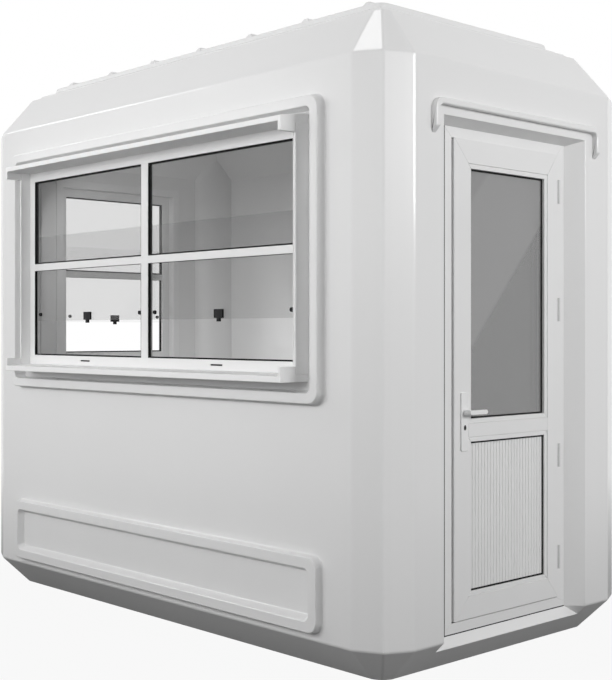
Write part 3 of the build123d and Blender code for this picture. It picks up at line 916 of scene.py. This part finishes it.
def window_hood(name, hatch_half):
    """Hood over a window of the front wall."""
    reach = hatch_half + jamb_thick
    lip_high = frame_high + hood_lip
    hood = block(name, (-reach, trim_front, frame_high), (reach, recess_floor, lip_high))
    pick("EDGE", lambda at, edge: at.y > recess_floor - TINY and at.z > lip_high - TINY)
    bpy.ops.transform.translate(value=(0, 0, hood_back_high.z - lip_high))
    mark_cheeks(hatch_half)
    pick_cheeks(hatch_half, -1)
    grow((0, 0, -hood_cheek))
    soften(hood, trim_round, 3)
    return hood


# %% Ledge
ledge_lip = 0.023
ledge_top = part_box("front_window_ledge")[1].z


def window_ledge(name, hatch_half):
    """Ledge under a window of the front wall."""
    reach = hatch_half + jamb_thick
    ledge = block(name, (-reach, trim_front, sill_low), (reach, recess_floor, frame_low))
    mark_cheeks(hatch_half)
    pick("EDGE", lambda at, edge: at.y < trim_front + TINY and at.z > frame_low - TINY)
    bpy.ops.transform.translate(value=(0, 0, sill_low + ledge_lip - frame_low))
    pick_cheeks(hatch_half, 1)
    grow((0, 0, ledge_top - frame_low))
    pick("VERT", lambda at, corner: at.z > frame_low + TINY)
    bpy.ops.transform.resize(value=(1, 1, 0), center_override=(0, 0, ledge_top))
    soften(ledge, trim_round, 3)
    return ledge


# %% Side plates
groove_width = 0.0025
groove_depth = 0.003
plate_round = 0.0065
groove_round = 0.001


def window_plates(name, hatch_half):
    """Plates beside a window of the front wall, with a groove along the front edge."""

    def outer_edge(at, edge):
        return runs_along(edge, Z) and at.y < jamb_front + TINY and abs(at.x) > hatch_half + TINY

    plates = []
    for side in (-1, 1):
        near, far = sorted((side * hatch_half, side * (hatch_half + jamb_thick)))
        plate = block(name, (near, jamb_front, frame_low), (far, recess_floor, frame_high))
        pick("EDGE", outer_edge)
        bpy.ops.mesh.bevel(offset=plate_round, segments=5, affect="EDGES")
        pick("FACE", lambda at, face: face.normal.y < -0.999)
        bpy.ops.mesh.inset(thickness=groove_width)
        grow((0, groove_depth, 0))
        soften(plate, groove_round)
        plates.append(plate)
    return join_pieces(name, plates)


# %% Trim both windows
for side, hatch_half, turn, move in window_walls:
    for part, make in (("canopy", window_hood), ("ledge", window_ledge), ("jambs", window_plates)):
        trim = turn_piece(make(side + "_" + part + "_trim", hatch_half), turn, move)
        dress(trim, trim_white, "window_trim", "booth", side + "_window_" + part)
        print(trim.name, len(trim.data.polygons), "faces")

# %% [markdown]
# ## Window frames, panes and seals
# A white frame holds a fixed pane above a transom. The lower pane has no frame and is slid
# up, so the hatch below it is open. Four bars could make a frame, but their ends would
# overlap. So a frame is one upright sheet, inset to leave a ring and thickened with
# Solidify. Black rubber lips line each opening, and a short weep slot under each column of
# panes drains the bottom bar.


# %% Rings
def upright_sheet(name, front, rect):
    """A rectangle (x0, z0, x1, z1) that faces -Y, open in edit mode."""
    x0, z0, x1, z1 = rect
    clear_selection()
    bpy.ops.mesh.primitive_plane_add(
        size=1, location=((x0 + x1) / 2, front, (z0 + z1) / 2), rotation=(math.pi / 2, 0, 0)
    )
    piece = bpy.context.object
    piece.name = name
    piece.scale = (x1 - x0, z1 - z0, 1)
    apply_place()
    open_piece(piece)
    return piece


def shrink(rect, amount):
    """A rectangle moved in by one amount on every side."""
    return (rect[0] + amount, rect[1] + amount, rect[2] - amount, rect[3] - amount)


def ring(name, front, outer, inner, depth, mitred=False):
    """A flat frame between two rectangles, given its depth backwards from its front."""
    piece = upright_sheet(name, front, outer)
    bpy.ops.mesh.select_all(action="SELECT")
    bars = (inner[0] - outer[0], inner[1] - outer[1], outer[2] - inner[2], outer[3] - inner[3])
    first = min(bars) / 2
    bpy.ops.mesh.inset(thickness=first)
    x0, z0, x1, z1 = shrink(outer, first)
    middle = ((x0 + x1) / 2, front, (z0 + z1) / 2)
    bpy.ops.transform.resize(
        value=((inner[2] - inner[0]) / (x1 - x0), 1, (inner[3] - inner[1]) / (z1 - z0)),
        center_override=middle,
    )
    bpy.ops.transform.translate(
        value=((inner[0] + inner[2]) / 2 - middle[0], 0, (inner[1] + inner[3]) / 2 - middle[2])
    )
    bpy.ops.mesh.delete(type="FACE")
    if mitred:
        pick("EDGE", lambda at, edge: not (runs_along(edge, X) or runs_along(edge, Z)))
        bpy.ops.mesh.edge_split(type="EDGE")
    use_modifier(piece, "SOLIDIFY", thickness=depth, offset=-1)
    return piece


# %% Sizes of the window
frame_bar = 0.043
mullion_width = 0.049
mullion_shift = -0.0235
transom_height = 0.032
transom_deep = 0.017
frame_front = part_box("front_window_frame")[0].y
frame_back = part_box("front_window_frame")[1].y
transom_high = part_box("front_window_fixed_glass")[0].z
transom_low = transom_high - transom_height
pane_low = frame_low + frame_bar
pane_high = frame_high - frame_bar
window_columns = {"front": 2, "end": 1}


def pane_columns(hatch_half, columns):
    """Left and right edge of each column of panes, with the mullion off the middle."""
    half = hatch_half - frame_bar
    if columns == 1:
        return [(-half, half)]
    left, right = mullion_shift - mullion_width / 2, mullion_shift + mullion_width / 2
    return [(-half, left), (right, half)]


print("panes", pane_columns(front_hatch_half, window_columns["front"]))

# %% Frame with mullion, transom and weep slots
slot_length = 0.075
slot_height = 0.006
slot_drop = 0.018
slot_deep = 0.012
slot_overrun = 0.01
bar_bite = 0.002
bar_round = 0.0022


def slot_block(name, left, right, front, back):
    """A block as wide and high as a weep slot, under one column of panes."""
    middle = (left + right) / 2
    high = pane_low - slot_drop
    return block(
        name,
        (middle - slot_length / 2, front, high - slot_height),
        (middle + slot_length / 2, back, high),
    )


def window_frame(name, hatch_half, columns):
    """Frame, mullions and transoms of a window of the front wall."""
    outer = (-hatch_half, frame_low, hatch_half, frame_high)
    bars = [ring(name, frame_front, outer, shrink(outer, frame_bar), frame_back - frame_front)]
    panes = pane_columns(hatch_half, columns)
    for left, right in panes:
        slot = slot_block("slot", left, right, frame_front - slot_overrun, frame_front + slot_deep)
        cut_away(bars[0], slot)
    for number, (left, right) in enumerate(panes):
        transom = block(
            "transom",
            (left - bar_bite, frame_front, transom_low),
            (right + bar_bite, frame_front + transom_deep, transom_high),
        )
        bars.append(transom)
        if number:
            mullion = block(
                "mullion",
                (left - mullion_width, frame_front, pane_low - bar_bite),
                (left, frame_back, pane_high + bar_bite),
            )
            bars.append(mullion)
    for bar in bars:
        soften(bar, bar_round, 3)
    return join_pieces(name, bars)


# %% Rubber seals, and painted shade in the weep slots
seal_width = 0.006
seal_setback = 0.0012
seal_round = 0.0012
seal_rows = ((pane_low, transom_low, 0.011, 0.001), (transom_high, pane_high, 0.018, 0.006))
slot_shade_front, slot_shade_back = 0.004, 0.011
slot_shade_round = 0.0006


def pane_seals(name, hatch_half, columns):
    """A rubber lining round each pane opening, and a dark block deep in each weep slot as painted shade."""
    seals = []
    for left, right in pane_columns(hatch_half, columns):
        for low, high, deep, top in seal_rows:
            rect = (left, low, right, high)
            lip = (left + seal_width, low + seal_width, right - seal_width / 2, high - top)
            seal = ring(name, frame_front + seal_setback, rect, lip, deep)
            soften(seal, seal_round)
            seals.append(seal)
        # A black block deep in each slot paints the shade inside the hole.
        slot_shade = slot_block("weep_slot_shade", left, right, frame_front + slot_shade_front, frame_front + slot_shade_back)
        soften(slot_shade, slot_shade_round, 1)
        seals.append(slot_shade)
    return join_pieces(name, seals)


# %% Sliding panes and the cover strips inside
slide_low_corner, slide_high_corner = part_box("front_window_sliding_glass")
slide_front, slide_low = slide_low_corner.y, slide_low_corner.z
slide_back, slide_high = slide_high_corner.y, slide_high_corner.z
slide_gap = 0.001
slide_round = 0.0008
cover_reach = 0.040
cover_thick = 0.008
cover_round = 0.002


def slide_panes(name, hatch_half, columns):
    """Frameless panes with polished edges, slid up."""
    panes = []
    for left, right in pane_columns(hatch_half, columns):
        pane = block(
            name, (left + slide_gap, slide_front, slide_low), (right - slide_gap, slide_back, slide_high)
        )
        soften(pane, slide_round)
        panes.append(pane)
    return join_pieces(name, panes)


def inner_trim(name, hatch_half):
    """A thin cover strip round the window on the room side."""
    rect = (-hatch_half, frame_low, hatch_half, frame_high)
    trim = ring(name, -room_half_width - room_lap, shrink(rect, -cover_reach), rect, cover_thick)
    soften(trim, cover_round)
    return trim


# %% Glaze both windows
window_glass = {"front": front_glass, "end": end_glass}
for side, hatch_half, turn, move in window_walls:
    node = side + "_window_"
    columns = window_columns[side]
    bars = turn_piece(window_frame(side + "_frame_bars", hatch_half, columns), turn, move)
    dress(bars, frame_white, "window_pvc", "booth", node + "frame")
    seals = turn_piece(pane_seals(side + "_pane_seals", hatch_half, columns), turn, move)
    dress(seals, seal_rubber, "black_fitting", "booth")
    panes = turn_piece(slide_panes(side + "_slide_panes", hatch_half, columns), turn, move)
    dress(panes, window_glass[side], "clear_glass", "booth", node + "sliding_glass")
    cover = turn_piece(inner_trim(side + "_inner_trim", hatch_half), turn, move)
    dress(cover, frame_white, "window_pvc", "booth")
    refinish(node + "fixed_glass", window_glass[side])
    print(side, "window:", columns, "columns of panes")

# %% [markdown]
# ## Latches and knobs
# At the foot of each raised pane sits a black latch with a thumb tab, and a round knob
# near each lower corner. Seen small, a plain block and disc might do, but both catch the
# light on their rims. So a latch is a block with dished faces and an extruded tab, and a
# knob is a short cylinder with a dished end.

# %% Latches
latch_width = 0.052
latch_height = 0.035
latch_deep = 0.010
latch_lift = 0.003
latch_rim = 0.003
latch_dish = 0.0015
tab_half = 0.009
tab_drop = 0.014
fitting_round = 0.0012


def pane_latches(name, hatch_half, columns):
    """One latch in the middle of each sliding pane."""
    latches = []
    low = slide_low + latch_lift
    for left, right in pane_columns(hatch_half, columns):
        middle = (left + right) / 2
        latch = block(
            name,
            (middle - latch_width / 2, slide_front - latch_deep, low),
            (middle + latch_width / 2, slide_front, low + latch_height),
        )
        for place in (middle - tab_half, middle + tab_half):
            bpy.ops.mesh.select_all(action="SELECT")
            bpy.ops.mesh.bisect(plane_co=(place, 0, 0), plane_no=(1, 0, 0))
        pick("FACE", lambda at, face: face.normal.z < -0.9 and abs(at.x - middle) < tab_half)
        grow((0, 0, -tab_drop))
        pick("FACE", lambda at, face: face.normal.y < -0.9 and at.z > low and abs(at.x - middle) > tab_half)
        bpy.ops.mesh.inset(thickness=latch_rim, depth=-latch_dish, use_individual=True)
        soften(latch, fitting_round)
        latches.append(latch)
    return join_pieces(name, latches)


# %% Knobs
knob_radius = 0.0085
knob_deep = 0.009
knob_inset = 0.029
knob_lift = 0.030
knob_rim = 0.003
knob_dish = 0.002


def upright_disc(sides, radius, depth, place):
    """A cylinder that lies front to back, open in edit mode."""
    clear_selection()
    bpy.ops.mesh.primitive_cylinder_add(
        vertices=sides, radius=radius, depth=depth, rotation=(math.pi / 2, 0, 0), location=place
    )
    disc = bpy.context.object
    apply_place()
    open_piece(disc)
    return disc


def pane_knobs(name, hatch_half, columns):
    """Two round knobs on each sliding pane."""
    knobs = []
    for left, right in pane_columns(hatch_half, columns):
        for across in (left + knob_inset, right - knob_inset):
            place = (across, slide_front - knob_deep / 2, slide_low + knob_lift)
            knob = upright_disc(28, knob_radius, knob_deep, place)
            pick_face(Y, -1)
            bpy.ops.mesh.inset(thickness=knob_rim)
            bpy.ops.mesh.inset(thickness=knob_dish, depth=-knob_dish)
            soften(knob, fitting_round)
            knobs.append(knob)
    return join_pieces(name, knobs)


# %% Fit both windows
for side, hatch_half, turn, move in window_walls:
    for part, make in (("latches", pane_latches), ("knobs", pane_knobs)):
        fitting = make(side + "_" + part + "_black", hatch_half, window_columns[side])
        turn_piece(fitting, turn, move)
        dress(fitting, black_plastic, "black_fitting", "booth", side + "_window_" + part)
        print(fitting.name, len(fitting.data.polygons), "faces")

# %% [markdown]
# ## Door frame and leaf
# The door is made of mitred extrusions, and the fine joint line at each corner shows. A
# drawn line would only lie on the surface. So a mitred ring is an inset sheet whose corner
# edges are split: each bar gets its own rounded edges, and a hairline stays between them.
# The pieces are modelled facing -Y, as the windows are, and turned a quarter to the door end.

# %% Sizes of the door
stile_trim = 0.0145
leaf_low, leaf_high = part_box("door_leaf_frame")
glass_low, glass_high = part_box("door_glass")
panel_low, panel_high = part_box("door_lower_panel")
leaf_rect = (leaf_low.y, leaf_low.z, leaf_high.y, leaf_high.z)
light_rect = (glass_low.y, glass_low.z, glass_high.y + stile_trim, glass_high.z)
panel_rect = (panel_low.y, panel_low.z, panel_high.y + stile_trim, panel_high.z)
leaf_face = -leaf_high.x
leaf_back = -leaf_low.x


def to_door(piece):
    """Turn a piece that faces -Y to the door end, where it faces +X."""
    return turn_piece(piece, 90)


print("leaf", leaf_rect, "glass", light_rect)

# %% Door frame
mitre_round = 0.0014
hinge_jamb_low, hinge_jamb_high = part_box("door_jamb_hinge")
frame_rect = (latch_low.y, latch_low.z, hinge_jamb_high.y, hinge_jamb_high.z)
frame_inner = (latch_high.y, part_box("door_sill")[1].z, hinge_jamb_low.y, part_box("door_head")[0].z)
door_frame = ring(
    "door_frame_bars", -frame_face, frame_rect, frame_inner, frame_face - latch_low.x, mitred=True
)
soften(door_frame, mitre_round)
dress(
    to_door(door_frame), door_white, "door_pvc", "booth",
    "door_jamb_latch", "door_jamb_hinge", "door_head", "door_sill",
)
print("door frame", frame_rect)

# %% Painted shade: dark strips in the gap between the frame and the shell, at the latch side and the sill
shade_strip_width = 0.0075
shade_strip_proud = 0.001
shade_strip_deep = 0.003
shade_strip_round = 0.0006
shade_strip_front = -frame_face - shade_strip_proud
shade_strip_back = -frame_face + shade_strip_deep
# Black strips paint the shadow in the gap where the shell's edge hides the frame.
shade_strips = [
    block(
        "shade_strip",
        (-reveal_half, shade_strip_front, base_height),
        (shade_strip_width - reveal_half, shade_strip_back, reveal_top),
    ),
    block(
        "shade_strip",
        (-reveal_half, shade_strip_front, base_height - shade_strip_proud),
        (reveal_half, shade_strip_back, base_height + shade_strip_deep),
    ),
]
for shade_strip in shade_strips:
    soften(shade_strip, shade_strip_round, 1)
dress(to_door(join_pieces("door_frame_shade_strip", shade_strips)), seal_rubber, "black_fitting", "booth")
print("shade_strip", shade_strip_width, "wide")

# %% Leaf and rail
bead_lip = 0.018
flange_deep = 0.007
flange_rise = 0.0065
light_seat, panel_seat = shrink(light_rect, -bead_lip), shrink(panel_rect, -bead_lip)
leaf_inner = (light_seat[0], panel_seat[1], light_seat[2], light_seat[3])
flange_rect = (*leaf_rect[:3], leaf_rect[3] + flange_rise)
flange_back = leaf_face + flange_deep
leaf_bars = [
    ring("flange", leaf_face, flange_rect, leaf_inner, flange_deep, mitred=True),
    ring("bars", flange_back, leaf_rect, leaf_inner, leaf_back - flange_back, mitred=True),
    block("rail", (light_seat[0], leaf_face, panel_seat[3]), (light_seat[2], leaf_back, light_seat[1])),
]
for bar in leaf_bars:
    soften(bar, mitre_round)
leaf = join_pieces("door_leaf_bars", leaf_bars)
dress(to_door(leaf), door_white, "door_pvc", "door_leaf", "door_leaf_frame")
print("leaf", len(leaf.data.polygons), "faces")

# %% Glazing beads, seals and the pane
bead_step = 0.0025
bead_round = 0.0022
seal_rise = 0.003
seal_bite = 0.002
door_seal = 0.006
pane_round = 0.001
glass_face = -glass_high.x
beads, seals = [], []
for rect, face in ((light_rect, glass_face), (panel_rect, -panel_high.x)):
    bead = ring(
        "glazing_bead", leaf_face + bead_step, shrink(rect, -bead_lip), rect,
        leaf_back - leaf_face - 2 * bead_step, mitred=True,
    )
    soften(bead, bead_round, 3)
    beads.append(bead)
    seal = ring("glazing_seal", face - seal_rise, rect, shrink(rect, door_seal), seal_rise + seal_bite)
    soften(seal, seal_round)
    seals.append(seal)
dress(to_door(join_pieces("door_glazing_beads", beads)), door_white, "door_pvc", "door_leaf")
dress(to_door(join_pieces("door_glazing_seals", seals)), seal_rubber, "black_fitting", "door_leaf")
pane = block(
    "door_pane", (light_rect[0], glass_face, light_rect[1]), (light_rect[2], -glass_low.x, light_rect[3])
)
soften(pane, pane_round)
dress(to_door(pane), door_tint_glass, "door_glass", "door_leaf", "door_glass")
print("beads and seals", len(beads), len(seals))

# %% [markdown]
# The lower part of the door is a panel of narrow upright reeds. A bump would look flat from
# the side. One reed is modelled, with its front face narrowed, and the Array modifier
# repeats it across a plain backing.

# %% Ribbed lower panel
reed_count = 25
reed_rise = 0.0035
reed_setback = 0.004
reed_bite = 0.001
reed_front_share = 0.62
reed_round = 0.0012
panel_x0, panel_z0, panel_x1, panel_z1 = panel_rect
panel_face = reed_setback - panel_high.x
reed_pitch = (panel_x1 - panel_x0) / reed_count
backing = block("backing", (panel_x0, panel_face, panel_z0), (panel_x1, -panel_low.x, panel_z1))
soften(backing, pane_round)
reed = block(
    "reed",
    (panel_x0, panel_face - reed_rise, panel_z0),
    (panel_x0 + reed_pitch, panel_face + reed_bite, panel_z1),
)
pick_face(Y, -1)
bpy.ops.transform.resize(
    value=(reed_front_share, 1, 1), center_override=(panel_x0 + reed_pitch / 2, 0, panel_z0)
)
soften(reed, reed_round, 2, 20)
use_modifier(
    reed, "ARRAY", count=reed_count, use_relative_offset=False, use_constant_offset=True,
    constant_offset_displace=(reed_pitch, 0, 0),
)
lower_panel = join_pieces("door_reeded_panel", [backing, reed])
dress(to_door(lower_panel), door_white, "door_pvc", "door_leaf", "door_lower_panel")
print("reeds", reed_count, "every", round(reed_pitch, 4))

# %% [markdown]
# ## Handle, lock and hinges
# A long white plate on each face of the leaf carries a plain lever and, under it, a black
# key slot. A bent tube could make the lever, but the photograph shows a bar on a neck, so
# the neck is a cylinder and the grip a block with rounded ends. The hinges are packed
# solids that already have their shape, and only get a finish.

# %% Handle plates
plate_deep = 0.005
plate_corner = 0.007
handle_round = 0.0018
plates_low, plates_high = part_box("door_handle_plates")
plate_faces = (leaf_face - plate_deep, leaf_back + plate_deep)
plates = []
for seat, front in zip((leaf_face, leaf_back), plate_faces):
    near, far = sorted((seat, front))
    plate = block("plate", (plates_low.y, near, plates_low.z), (plates_high.y, far, plates_high.z))
    pick("EDGE", lambda at, edge: runs_along(edge, Y))
    bpy.ops.mesh.bevel(offset=plate_corner, segments=5, affect="EDGES")
    soften(plate, handle_round, 3)
    plates.append(plate)
plate_pair = join_pieces("door_plate_pair", plates)
dress(to_door(plate_pair), handle_paint, "handle_white", "door_leaf", "door_handle_plates")
print("plates", len(plates))

# %% Key slots
key_half_width = 0.006
key_half_height = 0.0095
key_proud = 0.0012
key_dish = key_proud / 3
key_rim = 0.002
lock_low, lock_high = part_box("door_lock_cylinder")
lock_mid = (lock_low + lock_high) / 2
key_slots = []
for front, way in zip(plate_faces, (-1, 1)):
    key_slot = upright_disc(32, 1, 2 * key_proud, (lock_mid.y, front, lock_mid.z))
    bpy.ops.mesh.select_all(action="SELECT")
    bpy.ops.transform.resize(
        value=(key_half_width, 1, key_half_height), center_override=(lock_mid.y, front, lock_mid.z)
    )
    pick_face(Y, way)
    bpy.ops.mesh.inset(thickness=key_rim)
    grow((0, -way * key_dish, 0))
    make_active(key_slot)
    bpy.ops.object.shade_smooth_by_angle(angle=math.radians(40))
    key_slots.append(key_slot)
key_pair = join_pieces("door_key_slots", key_slots)
dress(to_door(key_pair), black_plastic, "black_fitting", "door_leaf", "door_lock_cylinder")
print("key slots", len(key_slots))

# %% Lever
neck_radius = 0.010
neck_shift = 0.0003
neck_round = 0.0015
grip_thick = 0.012
grip_half = 0.0085
grip_end_share = 0.98
grip_round = 0.0035
lever_low, lever_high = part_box("door_lever")
lever_mid_z = (lever_low.z + lever_high.z) / 2
neck_y = lever_low.y + neck_radius
lever_parts = []
for front, end, way in zip(plate_faces, (-lever_high.x, -lever_low.x), (-1, 1)):
    neck_end = end - way * grip_thick / 2
    neck_middle = (front + neck_end) / 2 + way * neck_shift
    neck = upright_disc(32, neck_radius, abs(neck_end - front), (neck_y, neck_middle, lever_mid_z))
    soften(neck, neck_round, 3)
    near, far = sorted((end, end - way * grip_thick))
    grip = block(
        "grip",
        (neck_y - grip_half, near, lever_mid_z - grip_half),
        (lever_high.y, far, lever_mid_z + grip_half),
    )
    pick("EDGE", lambda at, edge: runs_along(edge, Y))
    bpy.ops.mesh.bevel(offset=grip_half * grip_end_share, segments=6, affect="EDGES")
    soften(grip, grip_round, 3)
    lever_parts += [neck, grip]
lever = join_pieces("door_lever_pair", lever_parts)
dress(to_door(lever), handle_paint, "handle_white", "door_lever", "door_lever")
print("lever", len(lever.data.polygons), "faces")

# %% Hinges, in a metal grey darkened with painted shade, so the shadow beside each barrel shows as a fine line
for node in ("door_hinges_frame", "door_hinges_leaf"):
    refinish(node, hinge_grey_and_shade)
    print(node, "finished")

# %% [markdown]
# ## Drip moulding over the door
# A raised moulding runs over the doorway and turns down in a short hook at each end, which
# throws rain clear of the door. A swept curve could follow it, but its ends would be blunt.
# So it is a block with two rounded corners, an opening taken out from below, and ends cut
# back at 45 degrees with bisect.

# %% Drip moulding
drip_leg = 0.023
drip_bar = 0.024
drip_corner = 0.040
drip_inner = 0.018
drip_bite = 0.004
drip_overrun = 0.02
drip_round = 0.0055
drip_low, drip_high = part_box("door_drip")
drip_front, drip_back = -drip_high.x, -drip_low.x
drip = block(
    "door_drip_moulding",
    (drip_low.y, drip_front, drip_low.z),
    (drip_high.y, drip_back + drip_bite, drip_high.z),
)
pick("EDGE", lambda at, edge: runs_along(edge, Y) and at.z > drip_high.z - TINY)
bpy.ops.mesh.bevel(offset=drip_corner, segments=8, affect="EDGES")
under = block(
    "under",
    (drip_low.y + drip_leg, drip_front - drip_overrun, drip_low.z - drip_overrun),
    (drip_high.y - drip_leg, drip_back + drip_overrun, drip_high.z - drip_bar),
)
pick("EDGE", lambda at, edge: runs_along(edge, Y) and at.z > drip_low.z)
bpy.ops.mesh.bevel(offset=drip_inner, segments=5, affect="EDGES")
cut_away(drip, under)
open_piece(drip)
bpy.ops.mesh.select_all(action="SELECT")
bpy.ops.mesh.bisect(
    plane_co=(0, drip_back, drip_low.z), plane_no=(0, 1, 1), use_fill=True, clear_inner=True
)
soften(drip, drip_round, 4, clamp=False)
dress(to_door(drip), gel_coat, "gel_coat", "booth", "door_drip")
print("drip", len(drip.data.polygons), "faces")

# %% Finish
clear_selection()
